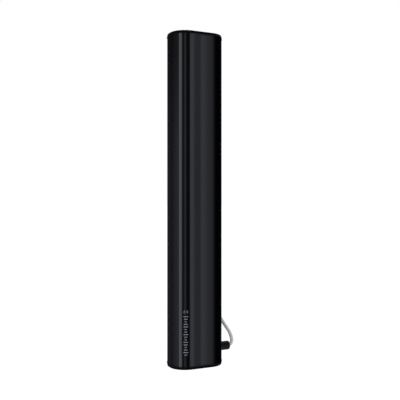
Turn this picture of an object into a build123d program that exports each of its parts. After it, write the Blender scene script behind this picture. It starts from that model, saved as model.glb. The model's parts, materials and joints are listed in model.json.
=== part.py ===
from build123d import *
import math
import os

os.makedirs("parts", exist_ok=True)

# Frame: +Z runs up the long axis, +X is the narrow side that carries the socket,
# -X is the receiving direction and +Y is the back. The origin is the middle of the
# bottom cap's underside. All sizes are in millimetres.

# Closed shell
HEIGHT = 574.0
CAP_LENGTH = 97.4
CAP_WIDTH = 64.6
CAP_CORNER = 29.4
CAP_RIM = 6.6
CAP_TAPER = 5.2
CAP_TAPER_IN = 1.2
CAP_EDGE = 0.8
CAP_FLOOR = 2.8
RADOME_LENGTH = 96.2
RADOME_WIDTH = 63.4
RADOME_CORNER = 28.8
WALL = 2.9
SPIGOT_DEPTH = 12.0
SPIGOT_WALL = 2.6
SPIGOT_GAP = 0.15
SEAL_HEIGHT = 2.4
SEAL_DEPTH = 1.4
SEAL_TOP = 6.0
RADOME_HEIGHT = HEIGHT - 2 * CAP_RIM
INNER_LENGTH = RADOME_LENGTH - 2 * WALL
INNER_WIDTH = RADOME_WIDTH - 2 * WALL
INNER_CORNER = RADOME_CORNER - WALL

# Cap screws and the breather in the bottom cap
CAP_SCREW_X = 24.0
SCREW_R = 1.5
SCREW_HEAD_R = 3.0
SCREW_HEAD = 2.0
SCREW_SINK = 0.4
SCREW_CLEARANCE = 0.1
BOSS_R = 4.5
DRIVE_R = 1.0
DRIVE_DEPTH = 1.2
VENT_Y = -14.0
VENT_R = 4.0
VENT_SINK = 0.6

# Inner carrier: a foot at each end, a rail along the back, one boom for each bay
FOOT_LENGTH = 75.0
FOOT_WIDTH = 50.0
FOOT_CORNER = 22.0
FOOT_HEIGHT = 5.0
FOOT_TAB = 16.0
RAIL_WIDTH = 20.0
RAIL_THICK = 3.0
PLATE_WIDTH = 38.0
PLATE_THICK = 3.0
PLATE_HEIGHT = 84.0
PLATE_Z = HEIGHT / 2
BACK_INSIDE = INNER_WIDTH / 2
PLATE_FRONT = BACK_INSIDE - PLATE_THICK
RAIL_FRONT = PLATE_FRONT - RAIL_THICK
FOOT_START = CAP_RIM + SPIGOT_DEPTH
RAIL_START = FOOT_START + FOOT_HEIGHT
RAIL_END = HEIGHT - RAIL_START
TAB_THICK = 5.0

# Bracket interface on the back
INSERT_SPACING_X = 30.0
INSERT_SPACING_Z = 60.0
INSERT_R = 3.5
INSERT_HOLE_R = 2.5

# Two stacked bays of reflector, folded dipole and director
BAY_HEIGHTS = {"lower": 194.0, "upper": 430.0}
REFLECTOR_X = 33.0
DIRECTOR_X = -31.0
ROD_R = 3.0
REFLECTOR_LENGTH = 228.0
DIRECTOR_LENGTH = 176.0
DIPOLE_LENGTH = 200.0
DIPOLE_R = 2.5
DIPOLE_HALF_WIDTH = 13.0
FEED_GAP = 8.0
BOOM_START = -38.0
BOOM_END = 40.0
BOOM_THICK = 10.0
POST_WIDTH = 16.0
POST_SCREW_X = 5.5
POST_SCREW_DEPTH = 8.0
FEED_BLOCK_WIDTH = 18.0
FEED_BLOCK_HEIGHT = 26.0
FEED_BLOCK_BACK = -5.0
FEED_BLOCK_FRONT = -19.0
FEED_LINE_R = 1.5
FEED_LINE_X = {"lower": -4.0, "upper": 4.0}
FEED_LINE_Y = -22.0
FEED_LINE_BEND = 6.0

# Amplifier board beside the socket
BOARD_START_X = 8.0
BOARD_END_X = 38.0
BOARD_BOTTOM = 24.0
BOARD_TOP = 76.0
BOARD_THICK = 1.6
BOARD_FACE_Y = -0.4
CAN_SIZE = 22.0
CAN_HEIGHT = 5.0
CAN_SHEET = 0.4
CAN_Z = 52.0
CAN_X = 21.0
CHIP_SIZE = 4.0
CHIP_HEIGHT = 1.4
BALUN_R = 4.5
BALUN_BORE = 1.6
BALUN_HEIGHT = 5.0
BALUN_Z = 34.0
BALUN_X = 16.0

# Screwed coax socket through the narrow wall; places are along +X
SOCKET_Z = 27.3
SOCKET_SEAT_OUT = 46.7
SOCKET_SEAT_IN = 45.3
SOCKET_SPOT_R = 8.5
SOCKET_SEAT_R = 7.5
SOCKET_FLANGE_R = 7.0
SOCKET_FLANGE = 2.0
SOCKET_R = 4.7
SOCKET_BORE = 3.4
SOCKET_TAIL = 38.0
SOCKET_TIP = 57.3
SOCKET_HOLE_R = 4.8
CONTACT_R = 0.9
CONTACT_BORE = 0.55
CONTACT_START = 31.0
CONTACT_TIP = 56.0
WASHER_R = 6.2
WASHER_THICK = 0.8
HEX_FLATS = 11.0
HEX_CORNER_R = 6.1
PANEL_NUT = 2.5

# Cable plug, measured from its flange towards the cable
PLUG_FLANGE = 1.2
PLUG_FLANGE_R = 4.5
PLUG_NECK_R = 3.7
PLUG_SLEEVE_START = 2.8
PLUG_SLEEVE_R = 4.2
PLUG_SLEEVE_END = 7.8
PLUG_CORE_R = 2.4
PLUG_CABLE_STOP = 5.7
PLUG_PIN_R = 0.5
PLUG_PIN_REACH = 6.0
PLUG_NUT_FRONT = -6.7
PLUG_NUT_STEP = 1.3
PLUG_NUT_BACK = 2.6
PLUG_RUNNING = 0.08

# Rubber boot over the plug
BOOT_R = 7.8
BOOT_BORE = 6.4
BOOT_END = 66.8
BOOT_LIP = 65.3
BOOT_MOUTH_IN = 3.3
BOOT_MOUTH_OUT = 4.7
BOOT_ROUND = 1.6

# Coax lead: the stretch from the plug up behind the body and down onto its coil
CABLE_R = 3.05
CABLE_ROUTE = [
    (63.0, 0.0, SOCKET_Z),
    (68.0, 0.0, SOCKET_Z),
    (72.0, 0.0, 29.9),
    (73.9, 0.0, 34.4),
    (72.9, 1.0, 42.3),
    (70.3, 3.9, 51.5),
    (63.7, 11.5, 64.0),
    (54.7, 20.5, 83.0),
    (35.2, 35.3, 99.8),
    (15.0, 51.2, 97.5),
    (2.8, 67.6, 79.0),
    (0.1, 78.3, 52.0),
    (0.2, 89.5, 27.5),
    (9.2, 108.1, 14.0),
    (30.1, 121.1, 10.25),
]
# The free end of the lead, from the coil's lowest layer to the far plug
TAIL_ROUTE = [
    (65.3, 52.0, 4.1),
    (52.5, 43.2, 4.1),
    (36.6, 38.4, 4.1),
    (21.0, 40.6, 4.9),
    (9.5, 44.6, 6.2),
    (0.0, 47.8, 6.2),
]
RUN_SHARE = 0.45

# Coil of the spare lead, lying on the floor behind the body
COIL_X = 39.7
COIL_Y = 82.5
COIL_MIDDLE_R = 33.6
COIL_PITCH = 6.2
COIL_FLOOR = 1.0
COIL_INNER_R = COIL_MIDDLE_R - COIL_PITCH - CABLE_R
COIL_OUTER_R = COIL_MIDDLE_R + COIL_PITCH + CABLE_R
COIL_HEIGHT = COIL_PITCH + 2 * CABLE_R
COIL_ROUND = 2.5
TIE_ANGLES = {"left": 25.0, "right": 215.0}
TIE_WIDTH = 3.6
TIE_THICK = 0.9
TIE_GAP = 0.1


def save(piece, name):
    """Label a finished piece and write it to its own file."""
    piece.part.label = name
    export_step(piece.part, f"parts/{name}.step")


def half_plane(axis_plane):
    """The plane through an axis, with radius along its X and the axis along its Y."""
    return Plane(
        origin=axis_plane.origin, x_dir=axis_plane.x_dir, z_dir=-axis_plane.y_dir
    )


def turned(name, axis_plane, outline):
    """Write a turned piece from the (radius, along) corners of its half section."""
    with BuildPart() as piece:
        with BuildSketch(half_plane(axis_plane)):
            with BuildLine():
                Polyline(*outline, close=True)
            make_face()
        revolve(axis=Axis(axis_plane.origin, axis_plane.z_dir))
    save(piece, name)


def ring_outline(inner_r, outer_r, start, end):
    """Half section of a plain ring."""
    return [(inner_r, start), (outer_r, start), (outer_r, end), (inner_r, end)]


def corner_radii(route):
    """The largest arc at each inner corner that RUN_SHARE of the shorter run allows."""
    radii = []
    for before, corner, after in zip(route, route[1:], route[2:]):
        run_in = Vector(*corner) - Vector(*before)
        run_out = Vector(*after) - Vector(*corner)
        half_turn = math.radians(run_in.get_angle(run_out)) / 2
        shorter = min(run_in.length, run_out.length)
        radii.append(RUN_SHARE * shorter / math.tan(half_turn))
    return radii


def tube(name, route, radius):
    """Write a round cable along straight runs joined by tangent arcs."""
    radii = corner_radii(route)
    start = Vector(*route[0])
    with BuildPart() as piece:
        with BuildLine() as path:
            FilletPolyline(*route, radius=radii)
        with BuildSketch(Plane(origin=start, z_dir=Vector(*route[1]) - start)):
            Circle(radius)
        sweep(path=path.wires()[0])
    save(piece, name)
    length = path.wires()[0].length
    ratio = piece.part.volume / (math.pi * radius**2 * length)
    print(name, "length", round(length, 1), "volume ratio", round(ratio, 4))
    print("  radii", [round(r, 1) for r in radii])


# Radome: one extruded tube with a flat seat for the socket and holes for the inserts
with BuildPart() as radome:
    with BuildSketch(Plane.XY.offset(CAP_RIM)):
        RectangleRounded(RADOME_LENGTH, RADOME_WIDTH, RADOME_CORNER)
        RectangleRounded(
            INNER_LENGTH, INNER_WIDTH, INNER_CORNER, mode=Mode.SUBTRACT
        )
    extrude(amount=RADOME_HEIGHT)
    with BuildSketch(Plane.YZ.offset(SOCKET_SEAT_OUT)):
        with Locations((0, SOCKET_Z)):
            Circle(SOCKET_SPOT_R)
    extrude(amount=WALL, mode=Mode.SUBTRACT)
    with BuildSketch(Plane.YZ.offset(SOCKET_SEAT_IN)):
        with Locations((0, SOCKET_Z)):
            Circle(SOCKET_SEAT_R)
    extrude(amount=-WALL, mode=Mode.SUBTRACT)
    with BuildSketch(Plane.YZ.offset(SOCKET_SEAT_IN)):
        with Locations((0, SOCKET_Z)):
            Circle(SOCKET_HOLE_R)
    extrude(amount=WALL, mode=Mode.SUBTRACT)
    with BuildSketch(Plane.XZ.offset(-RADOME_WIDTH / 2)):
        with Locations((0, PLATE_Z)):
            with GridLocations(INSERT_SPACING_X, INSERT_SPACING_Z, 2, 2):
                Circle(INSERT_R)
    extrude(amount=WALL, mode=Mode.SUBTRACT)
save(radome, "radome")


def end_cap(name, seal_name, screws_name, outer_z, inward, vented):
    """Write an end cap with its seal and its two screws.

    outer_z is the height of the cap's outer face and inward is +1 or -1, the way
    from that face into the radome.
    """
    outer_face = Plane(origin=(0, 0, outer_z), x_dir=(1, 0, 0), z_dir=(0, 0, inward))
    spigot_length = INNER_LENGTH - 2 * SPIGOT_GAP
    spigot_width = INNER_WIDTH - 2 * SPIGOT_GAP
    spigot_corner = INNER_CORNER - SPIGOT_GAP
    with BuildPart() as cap:
        with BuildSketch(outer_face):
            RectangleRounded(CAP_LENGTH, CAP_WIDTH, CAP_CORNER)
        extrude(amount=CAP_RIM)
        outermost = 0 if inward > 0 else -1
        blank_end = cap.faces().sort_by(Axis.Z)[outermost]
        chamfer(blank_end.edges(), CAP_TAPER_IN, CAP_TAPER, reference=blank_end)
        fillet(cap.faces().sort_by(Axis.Z)[outermost].edges(), CAP_EDGE)
        with BuildSketch(outer_face.offset(CAP_RIM)):
            RectangleRounded(spigot_length, spigot_width, spigot_corner)
        extrude(amount=SPIGOT_DEPTH)
        with BuildSketch(outer_face.offset(CAP_FLOOR)):
            RectangleRounded(
                spigot_length - 2 * SPIGOT_WALL,
                spigot_width - 2 * SPIGOT_WALL,
                spigot_corner - SPIGOT_WALL,
            )
            with GridLocations(2 * CAP_SCREW_X, 0, 2, 1):
                Circle(BOSS_R, mode=Mode.SUBTRACT)
        extrude(amount=CAP_RIM + SPIGOT_DEPTH - CAP_FLOOR, mode=Mode.SUBTRACT)
        with BuildSketch(outer_face.offset(CAP_RIM + SEAL_TOP - SEAL_HEIGHT)):
            RectangleRounded(INNER_LENGTH, INNER_WIDTH, INNER_CORNER)
            RectangleRounded(
                INNER_LENGTH - 2 * SEAL_DEPTH,
                INNER_WIDTH - 2 * SEAL_DEPTH,
                INNER_CORNER - SEAL_DEPTH,
                mode=Mode.SUBTRACT,
            )
        extrude(amount=SEAL_HEIGHT, mode=Mode.SUBTRACT)
        with BuildSketch(outer_face):
            with GridLocations(2 * CAP_SCREW_X, 0, 2, 1):
                Circle(SCREW_R + SCREW_CLEARANCE)
        extrude(amount=CAP_RIM + SPIGOT_DEPTH, mode=Mode.SUBTRACT)
        with BuildSketch(outer_face):
            with GridLocations(2 * CAP_SCREW_X, 0, 2, 1):
                Circle(SCREW_HEAD_R + SCREW_CLEARANCE)
        extrude(amount=SCREW_SINK + SCREW_HEAD, mode=Mode.SUBTRACT)
        if vented:
            with BuildSketch(Plane.XY):
                with Locations((0, VENT_Y)):
                    Circle(VENT_R)
            extrude(amount=CAP_FLOOR, mode=Mode.SUBTRACT)
    save(cap, name)

    with BuildPart() as seal:
        with BuildSketch(outer_face.offset(CAP_RIM + SEAL_TOP - SEAL_HEIGHT)):
            RectangleRounded(INNER_LENGTH, INNER_WIDTH, INNER_CORNER)
            RectangleRounded(
                INNER_LENGTH - 2 * SEAL_DEPTH,
                INNER_WIDTH - 2 * SEAL_DEPTH,
                INNER_CORNER - SEAL_DEPTH,
                mode=Mode.SUBTRACT,
            )
        extrude(amount=SEAL_HEIGHT)
    save(seal, seal_name)

    head = outer_face.offset(SCREW_SINK)
    with BuildPart() as screws:
        with BuildSketch(head):
            with GridLocations(2 * CAP_SCREW_X, 0, 2, 1):
                Circle(SCREW_HEAD_R)
        extrude(amount=SCREW_HEAD)
        with BuildSketch(head.offset(SCREW_HEAD)):
            with GridLocations(2 * CAP_SCREW_X, 0, 2, 1):
                Circle(SCREW_R)
        extrude(
            amount=CAP_RIM + SPIGOT_DEPTH + FOOT_HEIGHT - SCREW_SINK - SCREW_HEAD
        )
        with BuildSketch(head):
            with GridLocations(2 * CAP_SCREW_X, 0, 2, 1):
                RegularPolygon(DRIVE_R, 6)
        extrude(amount=DRIVE_DEPTH, mode=Mode.SUBTRACT)
    save(screws, screws_name)


end_cap("bottom_cap", "bottom_cap_seal", "bottom_cap_screws", 0.0, 1, True)
end_cap("top_cap", "top_cap_seal", "top_cap_screws", HEIGHT, -1, False)

# Breather plug in the bottom cap
with BuildPart() as vent_plug:
    with BuildSketch(Plane.XY.offset(VENT_SINK)):
        with Locations((0, VENT_Y)):
            Circle(VENT_R)
    extrude(amount=CAP_FLOOR - VENT_SINK)
save(vent_plug, "vent_plug")


def carrier_foot(name, start_z, inward):
    """Write the block that the cap screws pull against, with a tab for the rail."""
    base = Plane(origin=(0, 0, start_z), x_dir=(1, 0, 0), z_dir=(0, 0, inward))
    tab_middle = inward * (RAIL_FRONT - TAB_THICK / 2)
    with BuildPart() as foot:
        with BuildSketch(base):
            RectangleRounded(FOOT_LENGTH, FOOT_WIDTH, FOOT_CORNER)
            with GridLocations(2 * CAP_SCREW_X, 0, 2, 1):
                Circle(SCREW_R, mode=Mode.SUBTRACT)
        extrude(amount=FOOT_HEIGHT)
        with BuildSketch(base.offset(FOOT_HEIGHT)):
            with Locations((0, tab_middle)):
                Rectangle(RAIL_WIDTH, TAB_THICK)
        extrude(amount=FOOT_TAB)
        with BuildSketch(Plane.XZ.offset(-RAIL_FRONT)):
            with Locations((0, start_z + inward * (FOOT_HEIGHT + FOOT_TAB / 2))):
                Circle(SCREW_R)
        extrude(amount=TAB_THICK, mode=Mode.SUBTRACT)
    save(foot, name)


carrier_foot("carrier_foot_bottom", FOOT_START, 1)
carrier_foot("carrier_foot_top", HEIGHT - FOOT_START, -1)

FOOT_SCREW_HEIGHTS = [
    FOOT_START + FOOT_HEIGHT + FOOT_TAB / 2,
    HEIGHT - FOOT_START - FOOT_HEIGHT - FOOT_TAB / 2,
]
BOOM_SCREW_PLACES = [
    (x, z) for z in BAY_HEIGHTS.values() for x in (-POST_SCREW_X, POST_SCREW_X)
]

# Rail along the back
with BuildPart() as carrier_rail:
    with BuildSketch(Plane.XZ.offset(-PLATE_FRONT)):
        with Locations((0, HEIGHT / 2)):
            Rectangle(RAIL_WIDTH, RAIL_END - RAIL_START)
        with Locations(*[(0, z) for z in FOOT_SCREW_HEIGHTS], *BOOM_SCREW_PLACES):
            Circle(SCREW_R + SCREW_CLEARANCE, mode=Mode.SUBTRACT)
    extrude(amount=RAIL_THICK)
save(carrier_rail, "carrier_rail")


def rail_screws(name, places, depth):
    """Write screws whose heads lie on the back of the rail and whose shanks run forwards."""
    with BuildPart() as screws:
        with BuildSketch(Plane.XZ.offset(-PLATE_FRONT - SCREW_HEAD)):
            with Locations(*places):
                Circle(SCREW_HEAD_R)
        extrude(amount=SCREW_HEAD)
        with BuildSketch(Plane.XZ.offset(-PLATE_FRONT)):
            with Locations(*places):
                Circle(SCREW_R)
        extrude(amount=RAIL_THICK + depth)
    save(screws, name)


rail_screws("rail_screws", [(0, z) for z in FOOT_SCREW_HEIGHTS], TAB_THICK)
rail_screws("boom_screws", BOOM_SCREW_PLACES, POST_SCREW_DEPTH)

# Backing plate and the four threaded inserts that take a bracket
with BuildPart() as mount_plate:
    with BuildSketch(Plane.XZ.offset(-BACK_INSIDE)):
        with Locations((0, PLATE_Z)):
            Rectangle(PLATE_WIDTH, PLATE_HEIGHT)
            with GridLocations(INSERT_SPACING_X, INSERT_SPACING_Z, 2, 2):
                Circle(INSERT_R, mode=Mode.SUBTRACT)
    extrude(amount=PLATE_THICK)
save(mount_plate, "mount_plate")

with BuildPart() as mount_inserts:
    with BuildSketch(Plane.XZ.offset(-RADOME_WIDTH / 2)):
        with Locations((0, PLATE_Z)):
            with GridLocations(INSERT_SPACING_X, INSERT_SPACING_Z, 2, 2):
                Circle(INSERT_R)
                Circle(INSERT_HOLE_R, mode=Mode.SUBTRACT)
    extrude(amount=WALL + PLATE_THICK)
save(mount_inserts, "mount_inserts")


def rod(name, x, middle_z, length):
    """Write a straight element rod that stands along Z."""
    with BuildPart() as piece:
        with BuildSketch(Plane.XY.offset(middle_z - length / 2)):
            with Locations((x, 0)):
                Circle(ROD_R)
        extrude(amount=length)
    save(piece, name)


def boom(name, middle_z):
    """Write the bar that holds one bay's elements, with its post to the rail."""
    with BuildPart() as piece:
        with BuildSketch(Plane.XY.offset(middle_z - BOOM_THICK / 2)):
            with Locations(((BOOM_START + BOOM_END) / 2, 0)):
                Rectangle(BOOM_END - BOOM_START, BOOM_THICK)
            with Locations((0, RAIL_FRONT / 2)):
                Rectangle(POST_WIDTH, RAIL_FRONT)
            with Locations((REFLECTOR_X, 0), (DIRECTOR_X, 0)):
                Circle(ROD_R, mode=Mode.SUBTRACT)
            with Locations((0, DIPOLE_HALF_WIDTH)):
                Circle(DIPOLE_R, mode=Mode.SUBTRACT)
        extrude(amount=BOOM_THICK)
        with BuildSketch(Plane.XZ.offset(-RAIL_FRONT)):
            with Locations((-POST_SCREW_X, middle_z), (POST_SCREW_X, middle_z)):
                Circle(SCREW_R)
        extrude(amount=POST_SCREW_DEPTH, mode=Mode.SUBTRACT)
    save(piece, name)


def folded_dipole(name, middle_z):
    """Write the closed loop of rod with its feed gap at the front."""
    bend_z = DIPOLE_LENGTH / 2 - DIPOLE_HALF_WIDTH - DIPOLE_R
    side = DIPOLE_HALF_WIDTH
    with BuildPart() as piece:
        with BuildLine(Plane.YZ) as path:
            Line((-side, middle_z + FEED_GAP / 2), (-side, middle_z + bend_z))
            ThreePointArc(
                (-side, middle_z + bend_z),
                (0, middle_z + bend_z + side),
                (side, middle_z + bend_z),
            )
            Line((side, middle_z + bend_z), (side, middle_z - bend_z))
            ThreePointArc(
                (side, middle_z - bend_z),
                (0, middle_z - bend_z - side),
                (-side, middle_z - bend_z),
            )
            Line((-side, middle_z - bend_z), (-side, middle_z - FEED_GAP / 2))
        with BuildSketch(Plane.XY.offset(middle_z + FEED_GAP / 2)):
            with Locations((0, -side)):
                Circle(DIPOLE_R)
        sweep(path=path.wires()[0])
    save(piece, name)


def feed_block(name, middle_z, line_x):
    """Write the insulator that clamps both ends of the dipole at its feed gap."""
    middle_y = (FEED_BLOCK_BACK + FEED_BLOCK_FRONT) / 2
    with BuildPart() as piece:
        with BuildSketch(Plane.XY.offset(middle_z - FEED_BLOCK_HEIGHT / 2)):
            with Locations((0, middle_y)):
                RectangleRounded(
                    FEED_BLOCK_WIDTH, FEED_BLOCK_BACK - FEED_BLOCK_FRONT, DIPOLE_R
                )
        extrude(amount=FEED_BLOCK_HEIGHT)
        with BuildSketch(Plane.XY.offset(middle_z + FEED_GAP / 2)):
            with Locations((0, -DIPOLE_HALF_WIDTH)):
                Circle(DIPOLE_R)
        extrude(amount=FEED_BLOCK_HEIGHT, mode=Mode.SUBTRACT)
        with BuildSketch(Plane.XY.offset(middle_z - FEED_GAP / 2)):
            with Locations((0, -DIPOLE_HALF_WIDTH)):
                Circle(DIPOLE_R)
        extrude(amount=-FEED_BLOCK_HEIGHT, mode=Mode.SUBTRACT)
        with BuildSketch(Plane.XZ.offset(-FEED_BLOCK_FRONT)):
            with Locations((line_x, middle_z)):
                Circle(FEED_LINE_R)
        extrude(amount=-FEED_LINE_R, mode=Mode.SUBTRACT)
    save(piece, name)


def feed_line(name, middle_z, line_x):
    """Write the thin coax from a feed block down to the amplifier board."""
    board_front = BOARD_FACE_Y - BOARD_THICK
    drop_z = BOARD_TOP - FEED_LINE_BEND
    board_x = BOARD_START_X + abs(FEED_LINE_X["lower"]) + line_x
    with BuildPart() as piece:
        with BuildLine() as path:
            FilletPolyline(
                (line_x, FEED_BLOCK_FRONT, middle_z),
                (line_x, FEED_LINE_Y - FEED_LINE_R, middle_z),
                (line_x, FEED_LINE_Y - FEED_LINE_R, drop_z),
                (board_x, board_front - FEED_LINE_BEND, drop_z),
                (board_x, board_front, drop_z),
                radius=[FEED_LINE_R * 2, FEED_LINE_BEND, FEED_LINE_R * 2],
            )
        with BuildSketch(Plane.XZ.offset(-FEED_BLOCK_FRONT)):
            with Locations((line_x, middle_z)):
                Circle(FEED_LINE_R)
        sweep(path=path.wires()[0])
    save(piece, name)


for bay, bay_z in BAY_HEIGHTS.items():
    rod(f"reflector_{bay}", REFLECTOR_X, bay_z, REFLECTOR_LENGTH)
    rod(f"director_{bay}", DIRECTOR_X, bay_z, DIRECTOR_LENGTH)
    boom(f"boom_{bay}", bay_z)
    folded_dipole(f"dipole_{bay}", bay_z)
    feed_block(f"feed_block_{bay}", bay_z, FEED_LINE_X[bay])
    feed_line(f"feed_line_{bay}", bay_z, FEED_LINE_X[bay])

# Amplifier board, its screening can, its chips and the balun core
with BuildPart() as amp_board:
    with BuildSketch(Plane.XZ.offset(-BOARD_FACE_Y)):
        with Locations(
            ((BOARD_START_X + BOARD_END_X) / 2, (BOARD_BOTTOM + BOARD_TOP) / 2)
        ):
            Rectangle(BOARD_END_X - BOARD_START_X, BOARD_TOP - BOARD_BOTTOM)
    extrude(amount=BOARD_THICK)
save(amp_board, "amp_board")

with BuildPart() as shield_can:
    with BuildSketch(Plane.XZ.offset(-BOARD_FACE_Y)):
        with Locations((CAN_X, CAN_Z)):
            Rectangle(CAN_SIZE, CAN_SIZE)
    extrude(amount=-CAN_HEIGHT)
    with BuildSketch(Plane.XZ.offset(-BOARD_FACE_Y)):
        with Locations((CAN_X, CAN_Z)):
            Rectangle(CAN_SIZE - 2 * CAN_SHEET, CAN_SIZE - 2 * CAN_SHEET)
    extrude(amount=CAN_SHEET - CAN_HEIGHT, mode=Mode.SUBTRACT)
save(shield_can, "shield_can")

with BuildPart() as amp_chips:
    with BuildSketch(Plane.XZ.offset(-BOARD_FACE_Y)):
        with Locations((CAN_X, CAN_Z)):
            with GridLocations(CAN_SIZE / 2, CAN_SIZE / 2, 2, 2):
                Rectangle(CHIP_SIZE, CHIP_SIZE)
    extrude(amount=-CHIP_HEIGHT)
save(amp_chips, "amp_chips")

with BuildPart() as balun_core:
    with BuildSketch(Plane.XZ.offset(-BOARD_FACE_Y)):
        with Locations((BALUN_X, BALUN_Z)):
            Circle(BALUN_R)
            Circle(BALUN_BORE, mode=Mode.SUBTRACT)
    extrude(amount=-BALUN_HEIGHT)
save(balun_core, "balun_core")

# Socket, its insulator and contact, and the washer and nut that hold it in the wall
socket_axis = Plane(origin=(0, 0, SOCKET_Z), x_dir=(0, 1, 0), z_dir=(1, 0, 0))
flange_start = SOCKET_SEAT_IN - SOCKET_FLANGE
turned(
    "socket_body",
    socket_axis,
    [
        (SOCKET_BORE, SOCKET_TAIL),
        (SOCKET_R, SOCKET_TAIL),
        (SOCKET_R, flange_start),
        (SOCKET_FLANGE_R, flange_start),
        (SOCKET_FLANGE_R, SOCKET_SEAT_IN),
        (SOCKET_R, SOCKET_SEAT_IN),
        (SOCKET_R, SOCKET_TIP),
        (SOCKET_BORE, SOCKET_TIP),
    ],
)
turned(
    "socket_insulator",
    socket_axis,
    ring_outline(CONTACT_R, SOCKET_BORE, SOCKET_TAIL, CONTACT_TIP),
)
turned(
    "socket_contact",
    socket_axis,
    [
        (0, CONTACT_START),
        (-BOARD_FACE_Y, CONTACT_START),
        (-BOARD_FACE_Y, SOCKET_TAIL),
        (CONTACT_R, SOCKET_TAIL),
        (CONTACT_R, CONTACT_TIP),
        (CONTACT_BORE, CONTACT_TIP),
        (CONTACT_BORE, SOCKET_SEAT_OUT),
        (0, SOCKET_SEAT_OUT),
    ],
)
washer_end = SOCKET_SEAT_OUT + WASHER_THICK
turned(
    "socket_washer",
    socket_axis,
    ring_outline(SOCKET_HOLE_R, WASHER_R, SOCKET_SEAT_OUT, washer_end),
)


def hex_nut(name, axis_plane, start, end, bores):
    """Write a hexagon nut with rounded corners; bores lists (radius, start, end)."""
    with BuildPart() as nut:
        with BuildSketch(axis_plane.offset(start)):
            RegularPolygon(HEX_FLATS / 2, 6, major_radius=False)
            Circle(HEX_CORNER_R, mode=Mode.INTERSECT)
        extrude(amount=end - start)
        for radius, bore_start, bore_end in bores:
            with BuildSketch(axis_plane.offset(bore_start)):
                Circle(radius)
            extrude(amount=bore_end - bore_start, mode=Mode.SUBTRACT)
    save(nut, name)


panel_nut_end = washer_end + PANEL_NUT
hex_nut(
    "socket_nut",
    socket_axis,
    washer_end,
    panel_nut_end,
    [(SOCKET_R, washer_end, panel_nut_end)],
)

# Boot over the plug, seated on the radome wall
with BuildPart() as weather_boot:
    with BuildSketch(half_plane(socket_axis)):
        with BuildLine():
            Polyline(
                (BOOT_BORE, SOCKET_SEAT_OUT),
                (BOOT_R, SOCKET_SEAT_OUT),
                (BOOT_R, BOOT_END),
                (BOOT_MOUTH_OUT, BOOT_END),
                (BOOT_MOUTH_IN, BOOT_LIP),
                (BOOT_BORE, BOOT_LIP),
                close=True,
            )
        make_face()
    revolve(axis=Axis(socket_axis.origin, socket_axis.z_dir))
    outer_rim = weather_boot.edges().group_by(Axis.X)[-1].sort_by(SortBy.RADIUS)[-1]
    fillet(outer_rim, BOOT_ROUND)
save(weather_boot, "weather_boot")


def cable_plug(prefix, flange_plane):
    """Write one plug; flange_plane's Z points from the plug's flange to the cable."""
    turned(
        f"{prefix}_body",
        flange_plane,
        [
            (PLUG_CORE_R, 0),
            (PLUG_FLANGE_R, 0),
            (PLUG_FLANGE_R, PLUG_FLANGE),
            (PLUG_NECK_R, PLUG_FLANGE),
            (PLUG_NECK_R, PLUG_SLEEVE_START),
            (PLUG_SLEEVE_R, PLUG_SLEEVE_START),
            (PLUG_SLEEVE_R, PLUG_SLEEVE_END),
            (CABLE_R, PLUG_SLEEVE_END),
            (CABLE_R, PLUG_CABLE_STOP),
            (PLUG_CORE_R, PLUG_CABLE_STOP),
        ],
    )
    turned(
        f"{prefix}_dielectric",
        flange_plane,
        ring_outline(PLUG_PIN_R, PLUG_CORE_R, 0, PLUG_CABLE_STOP),
    )
    turned(
        f"{prefix}_pin",
        flange_plane,
        ring_outline(0, PLUG_PIN_R, -PLUG_PIN_REACH, PLUG_CABLE_STOP),
    )
    hex_nut(
        f"{prefix}_nut",
        flange_plane,
        PLUG_NUT_FRONT,
        PLUG_NUT_BACK,
        [
            (SOCKET_R + PLUG_RUNNING, PLUG_NUT_FRONT, PLUG_NUT_STEP),
            (PLUG_NECK_R + PLUG_RUNNING, PLUG_NUT_STEP, PLUG_NUT_BACK),
        ],
    )


cable_plug("plug", socket_axis.offset(SOCKET_TIP))

tail_end = Vector(*TAIL_ROUTE[-1])
far_way = (tail_end - Vector(*TAIL_ROUTE[-2])).normalized()
far_flange = Plane(
    origin=tail_end + far_way * PLUG_CABLE_STOP, x_dir=(0, 0, 1), z_dir=-far_way
)
cable_plug("far_plug", far_flange)

# Lead: the free stretch, the free end and the coil between them
tube("coax_cable", CABLE_ROUTE, CABLE_R)
tube("coax_tail", TAIL_ROUTE, CABLE_R)

with BuildPart() as coax_coil:
    with BuildSketch(Plane((COIL_X, COIL_Y, 0), (1, 0, 0), (0, -1, 0))):
        with Locations((COIL_MIDDLE_R, COIL_FLOOR + COIL_HEIGHT / 2)):
            RectangleRounded(COIL_OUTER_R - COIL_INNER_R, COIL_HEIGHT, COIL_ROUND)
    revolve(axis=Axis((COIL_X, COIL_Y, 0), (0, 0, 1)))
save(coax_coil, "coax_coil")

# Ties around the coil's bundle of turns
for side, angle in TIE_ANGLES.items():
    tie_plane = Plane(
        origin=(COIL_X, COIL_Y, 0), x_dir=Vector(1, 0, 0).rotate(Axis.Z, angle)
    )
    bundle_width = COIL_OUTER_R - COIL_INNER_R + 2 * TIE_GAP
    with BuildPart() as coil_tie:
        with BuildSketch(Plane(tie_plane.origin, tie_plane.x_dir, -tie_plane.y_dir)):
            with Locations((COIL_MIDDLE_R, COIL_FLOOR + COIL_HEIGHT / 2)):
                Rectangle(bundle_width + 2 * TIE_THICK, COIL_HEIGHT + 2 * TIE_THICK)
                Rectangle(bundle_width, COIL_HEIGHT, mode=Mode.SUBTRACT)
        extrude(amount=TIE_WIDTH / 2, both=True)
    save(coil_tie, f"coil_tie_{side}")
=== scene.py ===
import json
import math

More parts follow.
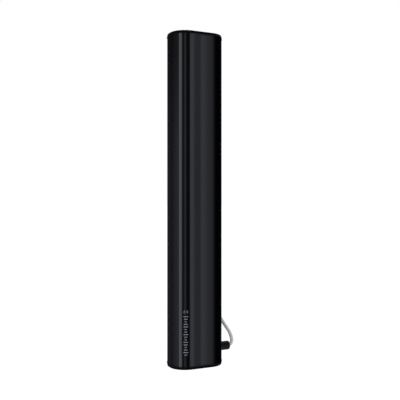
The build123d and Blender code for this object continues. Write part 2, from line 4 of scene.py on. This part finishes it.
import bmesh
import bpy
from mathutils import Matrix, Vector


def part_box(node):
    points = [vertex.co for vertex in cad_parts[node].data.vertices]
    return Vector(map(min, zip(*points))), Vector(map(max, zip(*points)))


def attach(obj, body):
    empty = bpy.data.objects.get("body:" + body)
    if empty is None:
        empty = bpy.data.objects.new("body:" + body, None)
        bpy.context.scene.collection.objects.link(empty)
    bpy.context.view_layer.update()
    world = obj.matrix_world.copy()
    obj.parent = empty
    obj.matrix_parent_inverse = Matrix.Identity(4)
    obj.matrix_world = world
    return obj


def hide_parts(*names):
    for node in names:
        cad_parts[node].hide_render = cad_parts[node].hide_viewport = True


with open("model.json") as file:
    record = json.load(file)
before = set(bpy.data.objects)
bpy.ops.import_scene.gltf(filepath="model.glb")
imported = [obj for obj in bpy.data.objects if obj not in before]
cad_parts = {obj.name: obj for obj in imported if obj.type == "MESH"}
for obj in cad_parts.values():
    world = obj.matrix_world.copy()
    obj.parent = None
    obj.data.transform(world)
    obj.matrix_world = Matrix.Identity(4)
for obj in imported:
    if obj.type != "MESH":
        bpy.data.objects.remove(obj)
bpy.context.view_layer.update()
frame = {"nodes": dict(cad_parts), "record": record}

MM = 0.001
BODY = "antenna"
UP = Vector((0, 0, 1))
nodes = frame["nodes"]
radome_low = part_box("radome")[0]
HALF_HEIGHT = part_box("top_cap")[1].z / 2

# Sizes that the frame's boxes don't give, in metres
RADOME_CORNER = 28.8 * MM
CAP_CORNER = 29.4 * MM
CABLE_DIAMETER = 6.1 * MM


# Camera: its turn round the body, its distance and its step to the right, in metres,
# and its sensor and lens in millimetres

CAMERA_TURN = math.radians(-25.2)
CAMERA_DISTANCE = 1.112
CAMERA_SIDESTEP = 9.55 * MM
CAMERA_SENSOR = 36
CAMERA_LENS = 57.27


def add_camera():
    """Level camera, round to the left of the broad face, with the body left of centre."""
    look = Vector((-math.sin(CAMERA_TURN), math.cos(CAMERA_TURN), 0))
    side = Vector((math.cos(CAMERA_TURN), math.sin(CAMERA_TURN), 0))
    data = bpy.data.cameras.new("camera")
    data.sensor_width = CAMERA_SENSOR
    data.lens = CAMERA_LENS
    camera = bpy.data.objects.new("camera", data)
    camera.location = UP * HALF_HEIGHT - look * CAMERA_DISTANCE + side * CAMERA_SIDESTEP
    camera.rotation_euler = (math.pi / 2, 0, CAMERA_TURN)
    bpy.context.scene.collection.objects.link(camera)
    bpy.context.scene.camera = camera


# Coax lead: route, coil and free end in millimetres, as in the CAD source

CABLE_ROUTE = [
    (63.0, 0.0, 27.3),
    (68.0, 0.0, 27.3),
    (72.0, 0.0, 29.9),
    (73.9, 0.0, 34.4),
    (72.9, 1.0, 42.3),
    (70.3, 3.9, 51.5),
    (63.7, 11.5, 64.0),
    (54.7, 20.5, 83.0),
    (35.2, 35.3, 99.8),
    (15.0, 51.2, 97.5),
    (2.8, 67.6, 79.0),
    (0.1, 78.3, 52.0),
    (0.2, 89.5, 27.5),
    (9.2, 108.1, 14.0),
    (30.1, 121.1, 10.25),
]
TAIL_ROUTE = [
    (65.3, 52.0, 4.1),
    (52.5, 43.2, 4.1),
    (36.6, 38.4, 4.1),
    (21.0, 40.6, 4.9),
    (9.5, 44.6, 6.2),
    (0.0, 47.8, 6.2),
]
# The coil has two layers of three lanes. Its start and sweep are in degrees.
COIL_MIDDLE = (39.7, 82.5)
COIL_MIDDLE_R = 33.6
COIL_PITCH = 6.2
COIL_LAYERS = (10.25, 4.1)
COIL_START = 104.0
COIL_SWEEP = 1954.0
COIL_POINTS = 87
TURNS_ON_TOP = 3
LAST_LANE = 2
# The parts of a turn over which the lead changes lanes, and the last part of the turns
# on top, over which it drops to the lower layer
LANE_CHANGE_ABOVE = (0.84, 1.0)
LANE_CHANGE_BELOW = (0.66, 0.84)
DROP = 0.16


def eased(value, start, end):
    """0 before start, 1 after end, and a smooth step between them."""
    t = min(1.0, max(0.0, (value - start) / (end - start)))
    return t * t * (3 - 2 * t)


def coil_point(turned):
    """Control point after that many turns: inwards on the top layer, outwards below."""
    top, bottom = COIL_LAYERS
    if turned < TURNS_ON_TOP:
        lane = min(math.floor(turned) + eased(turned % 1, *LANE_CHANGE_ABOVE), LAST_LANE)
        radius = COIL_MIDDLE_R + COIL_PITCH * (1 - lane)
        drop = eased(turned, TURNS_ON_TOP - DROP, TURNS_ON_TOP)
    else:
        below = turned - TURNS_ON_TOP
        lane = min(math.floor(below) + eased(below % 1, *LANE_CHANGE_BELOW), LAST_LANE)
        radius = COIL_MIDDLE_R + COIL_PITCH * (lane - 1)
        drop = 1.0
    # A quadratic spline runs just inside its control points.
    radius /= 0.75 + 0.25 * math.cos(math.radians(COIL_SWEEP / COIL_POINTS))
    angle = math.radians(COIL_START - turned * 360)
    return (
        COIL_MIDDLE[0] + radius * math.cos(angle),
        COIL_MIDDLE[1] + radius * math.sin(angle),
        top + (bottom - top) * drop,
    )


def add_lead():
    """The whole coax lead as one smooth curve, from the near plug to the far one."""
    step = COIL_SWEEP / 360 / COIL_POINTS
    coil = [coil_point(i * step) for i in range(1, COIL_POINTS)]
    points = CABLE_ROUTE + coil + TAIL_ROUTE
    data = bpy.data.curves.new("coax_lead", "CURVE")
    data.dimensions = "3D"
    # The thickness is in the points' radius, which Blender adds to a curve's box.
    data.bevel_depth = 1.0
    data.bevel_resolution = 10
    data.resolution_u = 10
    data.use_fill_caps = True
    spline = data.splines.new("NURBS")
    spline.points.add(len(points) - 1)
    for target, point in zip(spline.points, points):
        target.co = (*(Vector(point) * MM), 1)
        target.radius = CABLE_DIAMETER / 2
    spline.order_u = 3
    spline.use_endpoint_u = True
    spline.use_smooth = True
    lead = bpy.data.objects.new("coax_lead", data)
    bpy.context.scene.collection.objects.link(lead)
    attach(lead, BODY)
    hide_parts("coax_cable", "coax_coil", "coax_tail")
    return lead


# Materials


class Paint:
    """A principled material with helpers that add procedural detail to it."""

    def __init__(self, name, color, roughness, metallic=0.0, **sockets):
        self.material = bpy.data.materials.new(name)
        self.material.use_nodes = True
        self.tree = self.material.node_tree
        self.shader = self.tree.nodes["Principled BSDF"]
        self.roughness = roughness
        self.place = self.tree.nodes.new("ShaderNodeTexCoord").outputs["Object"]
        self.shader.inputs["Base Color"].default_value = (*color, 1)
        self.shader.inputs["Roughness"].default_value = roughness
        self.shader.inputs["Metallic"].default_value = metallic
        for socket, value in sockets.items():
            self.shader.inputs[socket.replace("_", " ")].default_value = value
        self.height = None

    def noise(self, scale, stretch=(1, 1, 1), detail=3.0):
        """A noise pattern's factor; scale is in features for each metre."""
        mapping = self.tree.nodes.new("ShaderNodeMapping")
        mapping.inputs["Scale"].default_value = stretch
        texture = self.tree.nodes.new("ShaderNodeTexNoise")
        texture.inputs["Scale"].default_value = scale
        texture.inputs["Detail"].default_value = detail
        self.tree.links.new(self.place, mapping.inputs["Vector"])
        self.tree.links.new(mapping.outputs["Vector"], texture.inputs["Vector"])
        return texture.outputs["Fac"]

    def ranged(self, factor, low, high, start=0.35, end=0.65):
        """The factor mapped from start..end to low..high."""
        node = self.tree.nodes.new("ShaderNodeMapRange")
        node.inputs["From Min"].default_value = start
        node.inputs["From Max"].default_value = end
        node.inputs["To Min"].default_value = low
        node.inputs["To Max"].default_value = high
        self.tree.links.new(factor, node.inputs["Value"])
        return node.outputs["Result"]

    def worn(self, scale, spread, stretch=(1, 1, 1)):
        """Roughness that drifts by spread either way."""
        result = self.ranged(
            self.noise(scale, stretch), self.roughness - spread, self.roughness + spread
        )
        self.tree.links.new(result, self.shader.inputs["Roughness"])
        return self

    def mottled(self, other, scale, stretch=(1, 1, 1)):
        """Base colour that drifts between its own and another."""
        mix = self.tree.nodes.new("ShaderNodeMix")
        mix.data_type = "RGBA"
        base = self.shader.inputs["Base Color"]
        mix.inputs["A"].default_value = base.default_value
        mix.inputs["B"].default_value = (*other, 1)
        factor = self.ranged(self.noise(scale, stretch), 0, 1)
        self.tree.links.new(factor, mix.inputs["Factor"])
        self.tree.links.new(mix.outputs["Result"], base)
        return self

    def bumped(self, scale, depth, stretch=(1, 1, 1), detail=3.0):
        """Surface relief of that depth, in metres; a second call adds to the first."""
        bump = self.tree.nodes.new("ShaderNodeBump")
        bump.inputs["Strength"].default_value = 1.0
        bump.inputs["Distance"].default_value = depth
        relief = self.noise(scale, stretch, detail)
        self.tree.links.new(relief, bump.inputs["Height"])
        if self.height:
            self.tree.links.new(self.height, bump.inputs["Normal"])
        self.height = bump.outputs["Normal"]
        self.tree.links.new(self.height, self.shader.inputs["Normal"])
        return self


# Noise drawn out along the body, as extrusion leaves it
LENGTHWAYS = (1, 1, 0.01)


def make_paints():
    """The materials: one for each slot, and cap_edge for the caps' tapered edges."""
    return {
        "radome_gloss": Paint("radome_gloss", (0.0005, 0.0006, 0.001), 0.022, IOR=1.5)
        .worn(40, 0.004)
        .bumped(220, 0.1e-6, LENGTHWAYS)
        .bumped(30, 0.15e-6),
        "cap_gloss": Paint("cap_gloss", (0.0008, 0.0008, 0.001), 0.06, IOR=1.49)
        .worn(60, 0.02)
        .bumped(900, 0.6e-6),
        "cap_edge": Paint("cap_edge", (0.002, 0.002, 0.0023), 0.6, Specular_IOR_Level=0.04)
        .worn(400, 0.08)
        .bumped(3000, 4e-6),
        "seal_rubber": Paint("seal_rubber", (0.012, 0.012, 0.012), 0.7)
        .worn(500, 0.1)
        .bumped(3000, 12e-6),
        "screw_steel": Paint("screw_steel", (0.52, 0.52, 0.53), 0.3, 1.0)
        .worn(900, 0.1)
        .bumped(2500, 4e-6),
        "vent_grey": Paint("vent_grey", (0.12, 0.12, 0.12), 0.75)
        .mottled((0.2, 0.2, 0.2), 4000)
        .bumped(5000, 20e-6),
        "carrier_plastic": Paint("carrier_plastic", (0.03, 0.03, 0.033), 0.5)
        .worn(300, 0.1)
        .bumped(2500, 8e-6),
        "element_aluminium": Paint("element_aluminium", (0.75, 0.76, 0.78), 0.32, 1.0)
        .worn(500, 0.1, LENGTHWAYS)
        .bumped(2500, 3e-6, LENGTHWAYS),
        "insert_brass": Paint("insert_brass", (0.68, 0.5, 0.22), 0.28, 1.0)
        .mottled((0.5, 0.36, 0.16), 500)
        .bumped(2500, 5e-6),
        "board_green": Paint("board_green", (0.01, 0.12, 0.04), 0.3)
        .mottled((0.02, 0.2, 0.07), 600)
        .bumped(1500, 8e-6),
        "nickel_plate": Paint("nickel_plate", (0.62, 0.6, 0.56), 0.2, 1.0)
        .worn(700, 0.08)
        .mottled((0.5, 0.48, 0.43), 250)
        .bumped(2500, 3e-6),
        "chip_black": Paint("chip_black", (0.02, 0.02, 0.02), 0.6).bumped(4000, 10e-6),
        "ferrite": Paint("ferrite", (0.05, 0.05, 0.05), 0.55).bumped(3000, 15e-6),
        "dielectric_white": Paint("dielectric_white", (0.8, 0.8, 0.77), 0.45)
        .bumped(3500, 15e-6),
        "copper": Paint("copper", (0.72, 0.38, 0.22), 0.25, 1.0)
        .mottled((0.45, 0.22, 0.12), 900)
        .bumped(3000, 3e-6),
        "boot_rubber": Paint("boot_rubber", (0.003, 0.003, 0.003), 0.3, Specular_IOR_Level=0.24)
        .worn(400, 0.05)
        .bumped(2600, 6e-6),
        "cable_grey": Paint("cable_grey", (0.48, 0.48, 0.47), 0.4)
        .worn(200, 0.06)
        .mottled((0.43, 0.43, 0.42), 120)
        .bumped(1400, 10e-6),
        "tie_black": Paint("tie_black", (0.015, 0.015, 0.015), 0.4)
        .bumped(2500, 12e-6),
        "print_ink": Paint("print_ink", (0.18, 0.19, 0.26), 0.5)
        .mottled((0.15, 0.16, 0.22), 900)
        .bumped(4000, 4e-6),
    }


def paint(obj, slot):
    """Give an object the material of that slot in place of whatever it has."""
    obj.data.materials.clear()
    obj.data.materials.append(paints[slot].material)


# Refined copies of the CAD's outer pieces

# Points closer than this are welded, and facets closer to flat than this are joined.
WELD_DISTANCE = 0.001 * MM
FLAT_ANGLE = math.radians(0.02)
# Edges that turn by more than these are shaded as sharp, and rounded.
SHARP_ANGLE = math.radians(32)
ROUNDED_ANGLE = math.radians(40)
# A facet takes the exact wall's normal where the two are within 14 degrees.
NORMAL_AGREES = math.cos(math.radians(14))
# A cap's taper and rounding face 5 to 80 degrees away from level.
LEVEL_ENOUGH = math.sin(math.radians(5))
FLAT_ENOUGH = math.sin(math.radians(80))


def body_of(node):
    """The name of the body that a CAD node belongs to."""
    groups = frame["record"]["behaviour"]["bodies"]
    return next(name for name, members in groups.items() if node in members)


def surface_copy(node):
    """A welded copy of a CAD node's mesh that replaces the node and rides with it."""
    mesh = nodes[node].data.copy()
    mesh.name = f"{node}_surface"
    shape = bmesh.new()
    shape.from_mesh(mesh)
    bmesh.ops.remove_doubles(shape, verts=shape.verts, dist=WELD_DISTANCE)
    bmesh.ops.dissolve_limit(
        shape, angle_limit=FLAT_ANGLE, verts=shape.verts, edges=shape.edges
    )
    shape.to_mesh(mesh)
    shape.free()
    copy = bpy.data.objects.new(f"{node}_surface", mesh)
    bpy.context.scene.collection.objects.link(copy)
    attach(copy, body_of(node))
    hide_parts(node)
    paint(copy, slot_of[node])
    return copy


def softened(node, width):
    """A refined copy with smooth curves and edges rounded to that width."""
    copy = surface_copy(node)
    copy.data.shade_smooth()
    copy.data.set_sharp_from_angle(angle=SHARP_ANGLE)
    bevel = copy.modifiers.new("edge", "BEVEL")
    bevel.width = width
    bevel.segments = 2
    bevel.limit_method = "ANGLE"
    bevel.angle_limit = ROUNDED_ANGLE
    bevel.harden_normals = True
    return copy


def outline_normal(point, half_length, half_width, corner):
    """The level normal of a rounded rectangle's outline near a point."""
    past_x = max(abs(point.x) - (half_length - corner), 0)
    past_y = max(abs(point.y) - (half_width - corner), 0)
    if past_x == past_y == 0:
        past_y = 1
    away = math.hypot(past_x, past_y)
    return Vector(
        (
            math.copysign(past_x / away, point.x),
            math.copysign(past_y / away, point.y),
            0,
        )
    )


def refine_shell(node, corner):
    """Replace a shell piece by a copy whose walls are shaded as exact curves."""
    low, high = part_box(node)
    half_length = (high.x - low.x) / 2
    half_width = (high.y - low.y) / 2
    copy = surface_copy(node)
    mesh = copy.data
    mesh.shade_smooth()
    normals = [None] * len(mesh.loops)
    for face in mesh.polygons:
        level = math.hypot(face.normal.x, face.normal.y)
        for index in face.loop_indices:
            point = mesh.vertices[mesh.loops[index].vertex_index].co
            exact = outline_normal(point, half_length, half_width, corner) * level
            if exact.dot(face.normal) < 0:
                exact = -exact
            exact.z = face.normal.z
            agrees = exact.dot(face.normal) > NORMAL_AGREES
            normals[index] = exact if agrees else face.normal.copy()
    mesh.normals_split_custom_set(normals)
    return copy


def dull_taper(cap):
    """Give a cap's taper and the rounding beside it the finish of a moulded edge."""
    cap.data.materials.append(paints["cap_edge"].material)
    for face in cap.data.polygons:
        outward = (face.center.z > HALF_HEIGHT) == (face.normal.z > 0)
        if outward and LEVEL_ENOUGH < abs(face.normal.z) < FLAT_ENOUGH:
            face.material_index = 1


# How wide the rounding of each small piece's edges is
SOFT_EDGES = {
    "weather_boot": 0.3 * MM,
    "plug_nut": 0.35 * MM,
    "far_plug_nut": 0.35 * MM,
    "plug_body": 0.2 * MM,
    "far_plug_body": 0.2 * MM,
    "socket_nut": 0.3 * MM,
    "socket_washer": 0.15 * MM,
    "socket_body": 0.2 * MM,
    "top_cap_screws": 0.25 * MM,
    "bottom_cap_screws": 0.25 * MM,
    "mount_inserts": 0.3 * MM,
    "vent_plug": 0.3 * MM,
    "coil_tie_left": 0.4 * MM,
    "coil_tie_right": 0.4 * MM,
    "far_plug_dielectric": 0.15 * MM,
    "far_plug_pin": 0.15 * MM,
}


# Printed mark: a plain sending symbol and a row of bars in waves, without letters

MARK_ANGLE = math.radians(21.6)
MARK_TOP = 102.5 * MM
MARK_BOTTOM = 24.9 * MM
MARK_HEIGHT = 8.4 * MM
INK = 0.05 * MM
STROKE = 0.5 * MM
DOT_CENTRE = 0.02 * MM
ARC_RADII = (1.7 * MM, 3.2 * MM)
ARC_SPAN = 100
BAR_WIDTH = 1.1 * MM
BARS = 16
BARS_IN_WAVE = 3.4
SHORT_BAR = 0.4


def on_corner(across, z):
    """The point that far across, round the printed corner from the mark's middle."""
    angle = MARK_ANGLE + across / RADOME_CORNER
    middle_x = radome_low.x + RADOME_CORNER
    middle_y = radome_low.y + RADOME_CORNER
    reach = RADOME_CORNER + INK / 2
    return Vector(
        (middle_x - reach * math.sin(angle), middle_y - reach * math.cos(angle), z)
    )


def add_patch(shape, place, columns, rows):
    """Add a grid of faces whose points are place(u, v) for u and v from 0 to 1."""
    grid = [
        [shape.verts.new(on_corner(*place(i / columns, j / rows))) for j in range(rows + 1)]
        for i in range(columns + 1)
    ]
    for i in range(columns):
        for j in range(rows):
            shape.faces.new(
                (grid[i][j], grid[i + 1][j], grid[i + 1][j + 1], grid[i][j + 1])
            )


def add_mark():
    """Ink patches that follow the corner's curve."""
    shape = bmesh.new()
    dot_z = MARK_TOP - MARK_HEIGHT / 2

    def ring(inner, outer, start, end):
        def place(u, v):
            radius = inner + (outer - inner) * v
            angle = start + (end - start) * u
            return radius * math.cos(angle), dot_z + radius * math.sin(angle)

        return place

    add_patch(shape, ring(DOT_CENTRE, STROKE, 0, 2 * math.pi), columns=32, rows=2)
    for inner in ARC_RADII:
        for middle in (0, 180):
            start = math.radians(middle - ARC_SPAN / 2)
            arc = ring(inner, inner + STROKE, start, start + math.radians(ARC_SPAN))
            add_patch(shape, arc, columns=24, rows=2)
    bar_step = (MARK_TOP - MARK_HEIGHT - MARK_BOTTOM) / BARS
    for number in range(BARS):
        swell = (1 - math.cos(2 * math.pi * (number + 0.5) / BARS_IN_WAVE)) / 2
        length = MARK_HEIGHT * (SHORT_BAR + (1 - SHORT_BAR) * swell)
        top = MARK_BOTTOM + number * bar_step + BAR_WIDTH

        def bar(u, v, top=top, length=length):
            return (0.5 - u) * length, top - v * BAR_WIDTH

        add_patch(shape, bar, columns=12, rows=2)
    mesh = bpy.data.meshes.new("printed_mark")
    bmesh.ops.recalc_face_normals(shape, faces=shape.faces)
    shape.to_mesh(mesh)
    shape.free()
    mark = bpy.data.objects.new("printed_mark", mesh)
    bpy.context.scene.collection.objects.link(mark)
    layer = mark.modifiers.new("ink", "SOLIDIFY")
    layer.thickness = INK
    layer.offset = 0
    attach(mark, BODY)
    paint(mark, "print_ink")


# Studio

# Upright pale strips: degrees round from the front towards -X where each one starts
# and ends, how many degrees its two edges fade over, and its strength. Those behind
# the body are in degrees round from the back towards +X.
STRIPS = {
    "key": (45.6, 66.7, 1.0, 1.0, 1.56),
    "key_core": (58.0, 66.7, 12.0, 1.0, 0.42),
    "kicker": (15.7, 33.0, 9.0, 7.0, 0.42),
    "key_spill": (36.5, 45.6, 4.0, 1.0, 0.16),
    "front_gap": (-8.0, 16.5, 8.0, 9.0, 0.06),
    "front_wash": (-38.0, -10.0, 36.0, 11.0, 0.33),
    "front_panel": (-26.2, -10.0, 0.9, 11.0, 0.16),
    "panel_side": (-26.35, -25.27, 0.6, 0.06, 0.1),
    "panel_lamp": (-25.7, -25.27, 0.4, 0.06, 0.27),
    "front_lamp": (-24.68, -10.0, 0.03, 11.0, 0.43),
}
# Strips at the left, which are weaker higher up. SIDE_DIMS gives the sines of the
# angle above level where that starts and is full, and the factors at the two.
SIDE_STRIPS = {
    "side_panel": (66.7, 112.0, 1.0, 34.0, 0.37),
    "side_lamp": (74.0, 84.0, 4.0, 4.0, 0.18),
    "side_wash": (112.0, 162.0, 34.0, 50.0, 0.12),
}
SIDE_DIMS = (0.05, 0.28, 1.0, 0.4)
STRIPS_BEHIND = {
    "back_panel": (-4.0, 6.0, 4.0, 4.0, 0.45),
    "back_side": (34.0, 49.0, 6.0, 6.0, 0.3),
}
# The sines of the angle from level between which every strip fades out, the strength
# of the dark room between the strips, and the colour of all of it
STRIP_FADES = (0.35, 0.6)
SURROUND = 0.002
PANEL_COLOUR = (0.93, 0.963, 1.075, 1)
# Glows that only tilted views mirror: the sines of the angle from level where each
# starts and is full, and its strength. Each span is written as the strips are: the
# first is round the back, and the second is round the front, below level only. The
# steep one is overhead and underfoot, all the way round.
BEHIND_GLOW = (0.26, 0.45, 0.7)
BEHIND_SPAN = (-52.0, 110.0, 20.0, 20.0, 1.0)
FRONT_GLOW = (0.26, 0.5, 0.4)
FRONT_SPAN = (-60.0, 75.0, 20.0, 20.0, 1.0)
STEEP_GLOW = (0.8, 0.92, 0.6)


def add_world():
    """A dark room with upright pale panels, and a white backdrop that only the camera sees."""
    world = bpy.data.worlds.new("studio")
    bpy.context.scene.world = world
    world.use_nodes = True
    tree = world.node_tree
    tree.nodes.clear()

    def node(kind, **settings):
        made = tree.nodes.new(kind)
        for name, value in settings.items():
            setattr(made, name, value)
        return made

    def maths(operation, a, b=0):
        made = node("ShaderNodeMath", operation=operation)
        for socket, value in zip(made.inputs, (a, b)):
            if isinstance(value, (int, float)):
                socket.default_value = value
            else:
                tree.links.new(value, socket)
        return made.outputs["Value"]

    def step(value, start, end, low, high):
        made = node("ShaderNodeMapRange", interpolation_type="SMOOTHSTEP")
        tree.links.new(value, made.inputs["Value"])
        made.inputs["From Min"].default_value = start
        made.inputs["From Max"].default_value = end
        made.inputs["To Min"].default_value = low
        made.inputs["To Max"].default_value = high
        return made.outputs["Result"]

    def degrees_round(x, y):
        return maths("MULTIPLY", maths("ARCTAN2", x, y), 180 / math.pi)

    def strip(degrees, start, end, fade_in, fade_out, strength):
        rise = step(degrees, start - fade_in / 2, start + fade_in / 2, 0, strength)
        fall = step(degrees, end - fade_out / 2, end + fade_out / 2, 1, 0)
        return maths("MULTIPLY", rise, fall)

    way = node("ShaderNodeSeparateXYZ")
    tree.links.new(node("ShaderNodeTexCoord").outputs["Generated"], way.inputs[0])
    back_x = maths("MULTIPLY", way.outputs["X"], -1)
    back_y = maths("MULTIPLY", way.outputs["Y"], -1)
    from_front = degrees_round(back_x, back_y)
    from_back = degrees_round(way.outputs["X"], way.outputs["Y"])
    total = SURROUND
    for values in STRIPS.values():
        total = maths("ADD", total, strip(from_front, *values))
    dimmed = step(way.outputs["Z"], *SIDE_DIMS)
    for values in SIDE_STRIPS.values():
        side = maths("MULTIPLY", dimmed, strip(from_front, *values))
        total = maths("ADD", total, side)
    for values in STRIPS_BEHIND.values():
        total = maths("ADD", total, strip(from_back, *values))
    level = maths("ABSOLUTE", way.outputs["Z"])
    below = maths("MULTIPLY", way.outputs["Z"], -1)
    total = maths("MULTIPLY", total, step(level, *STRIP_FADES, 1, 0))
    start, full, strength = BEHIND_GLOW
    glow = step(level, start, full, 0, strength)
    glow = maths("MULTIPLY", glow, strip(from_back, *BEHIND_SPAN))
    start, full, strength = FRONT_GLOW
    low_glow = step(below, start, full, 0, strength)
    low_glow = maths("MULTIPLY", low_glow, strip(from_front, *FRONT_SPAN))
    glow = maths("MAXIMUM", glow, low_glow)
    start, full, strength = STEEP_GLOW
    glow = maths("MAXIMUM", glow, step(level, start, full, 0, strength))
    total = maths("ADD", total, glow)

    panels = node("ShaderNodeBackground")
    panels.inputs["Color"].default_value = PANEL_COLOUR
    tree.links.new(total, panels.inputs["Strength"])
    backdrop = node("ShaderNodeBackground")
    backdrop.inputs["Color"].default_value = (1, 1, 1, 1)
    seen = node("ShaderNodeLightPath").outputs["Is Camera Ray"]
    mix = node("ShaderNodeMixShader")
    tree.links.new(seen, mix.inputs["Fac"])
    tree.links.new(panels.outputs[0], mix.inputs[1])
    tree.links.new(backdrop.outputs[0], mix.inputs[2])
    output = node("ShaderNodeOutputWorld")
    tree.links.new(mix.outputs[0], output.inputs["Surface"])


def add_sun(name, azimuth, elevation, strength, spread):
    """Soft light that leaves the gloss to the panels; its angles are in degrees."""
    data = bpy.data.lights.new(name, "SUN")
    data.energy = strength
    data.angle = math.radians(spread)
    light = bpy.data.objects.new(name, data)
    light.rotation_euler = (math.radians(90 - elevation), 0, math.radians(azimuth))
    light.visible_glossy = False
    bpy.context.scene.collection.objects.link(light)


def add_floor():
    """Plain floor that glows as pale as the backdrop, and that the gloss doesn't mirror."""
    mesh = bpy.data.meshes.new("floor")
    reach = 30.0
    corners = [(-reach, -reach, 0), (reach, -reach, 0), (reach, reach, 0), (-reach, reach, 0)]
    mesh.from_pydata(corners, [], [(0, 1, 2, 3)])
    floor = bpy.data.objects.new("floor", mesh)
    bpy.context.scene.collection.objects.link(floor)
    white = Paint("floor_white", (0.1, 0.1, 0.1), 0.9)
    white.shader.inputs["Emission Color"].default_value = (1, 1, 1, 1)
    white.shader.inputs["Emission Strength"].default_value = 0.95
    mesh.materials.append(white.material)
    floor.visible_glossy = False


# Build the scene

slot_of = {part["node"]: part["material_slot"] for part in frame["record"]["subparts"]}
paints = make_paints()
add_camera()
lead = add_lead()
paint(lead, "cable_grey")
for node_name, cad_object in nodes.items():
    paint(cad_object, slot_of[node_name])
refine_shell("radome", RADOME_CORNER)
dull_taper(refine_shell("top_cap", CAP_CORNER))
dull_taper(refine_shell("bottom_cap", CAP_CORNER))
refined = {name: softened(name, width) for name, width in SOFT_EDGES.items()}
add_mark()
add_world()
add_sun("overhead", azimuth=-50, elevation=62, strength=2.2, spread=70)
add_sun("fill", azimuth=20, elevation=25, strength=0.8, spread=60)
add_sun("rim", azimuth=95, elevation=35, strength=0.9, spread=40)
add_floor()
bpy.context.scene.view_settings.view_transform = "Standard"
